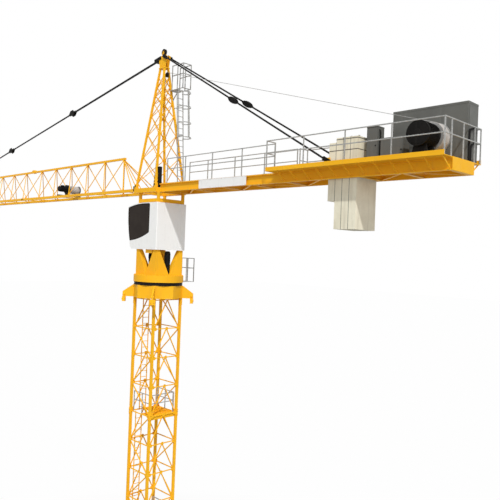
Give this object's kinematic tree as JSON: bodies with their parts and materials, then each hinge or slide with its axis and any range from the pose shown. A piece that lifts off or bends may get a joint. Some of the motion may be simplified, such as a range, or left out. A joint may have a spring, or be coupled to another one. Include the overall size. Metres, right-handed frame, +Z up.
{
  "type": "tower crane, 1:2 scale model",
  "caption": "Yellow top-slewing tower crane with a lattice mast, jib, counter-jib, cab, tie bars and hanging concrete ballast, as a 1:2 scale model.",
  "frame": {"origin": "centre of the foot face under the mast axis", "axes": "+Z up, -X along the jib, +X along the counter-jib, -Y towards the cab's near window side"},
  "size_m": [23.437, 1.4853, 14.9133],
  "materials": {
    "crane_yellow": "satin",
    "black_paint": "satin",
    "white_paint": "gloss",
    "grey_paint": "satin",
    "tinted_glass": "gloss",
    "concrete": "matte",
    "galvanised_steel": "satin",
    "bare_steel": "brushed"
  },
  "bodies": {
    "mast": {"mast_foot": "crane_yellow", "mast_legs_lower": "crane_yellow", "mast_legs_middle": "crane_yellow", "mast_legs_upper": "crane_yellow", "mast_side_near": "crane_yellow", "mast_side_far": "crane_yellow", "mast_side_front": "crane_yellow", "mast_side_rear": "crane_yellow", "mast_ladders": "crane_yellow", "mast_platforms": "crane_yellow", "mast_platform_rails": "galvanised_steel", "slewing_support": "crane_yellow", "slewing_ring_lower": "black_paint"},
    "upper": {"access_platform": "galvanised_steel", "ballast_hangers": "bare_steel", "ballast_slabs": "concrete", "cab_door": "white_paint", "cab_floor": "white_paint", "cab_front_wall": "white_paint", "cab_glass": "tinted_glass", "cab_posts": "crane_yellow", "cab_rear_wall": "white_paint", "cab_roof": "white_paint", "cab_side_walls": "white_paint", "control_box": "grey_paint", "counter_jib_crossbeams": "crane_yellow", "counter_jib_floors": "crane_yellow", "counter_jib_girders": "crane_yellow", "crown": "crane_yellow", "deck_edges": "crane_yellow", "deck_rails": "galvanised_steel", "deck_struts": "crane_yellow", "head_base": "crane_yellow", "head_cap": "crane_yellow", "head_ladder": "galvanised_steel", "head_legs": "crane_yellow", "head_platform": "galvanised_steel", "head_sheaves": "black_paint", "head_side_far": "crane_yellow", "head_side_front": "crane_yellow", "head_side_near": "crane_yellow", "head_side_rear": "crane_yellow", "hoist_motor": "black_paint", "hoist_rope": "bare_steel", "jib_bottom_chords": "crane_yellow", "jib_floor_lacing": "crane_yellow", "jib_side_far": "crane_yellow", "jib_side_near": "crane_yellow", "jib_tie": "black_paint", "jib_top_chord": "crane_yellow", "machine_cabinet": "grey_paint", "rear_ties": "black_paint", "side_decks": "crane_yellow", "slewing_drives": "black_paint", "slewing_ring_upper": "black_paint", "trolley_winch": "black_paint", "turntable": "crane_yellow", "walkway_rails": "galvanised_steel"},
    "hoist_drum": {"hoist_drum": "bare_steel"},
    "trolley_drum": {"trolley_drum": "bare_steel"}
  },
  "joints": [
    {"name": "slewing", "type": "hinge", "parent": "mast", "child": "upper", "pos_m": [0, 0, 8.993], "axis": [0, 0, 1], "continuous": true},
    {"name": "hoist_drum_turn", "type": "hinge", "parent": "upper", "child": "hoist_drum", "pos_m": [7.325, 0, 11.8763], "axis": [0, 1, 0], "continuous": true},
    {"name": "trolley_drum_turn", "type": "hinge", "parent": "upper", "child": "trolley_drum", "pos_m": [-4.7, 0, 11.5663], "axis": [0, 1, 0], "continuous": true}
  ]
}
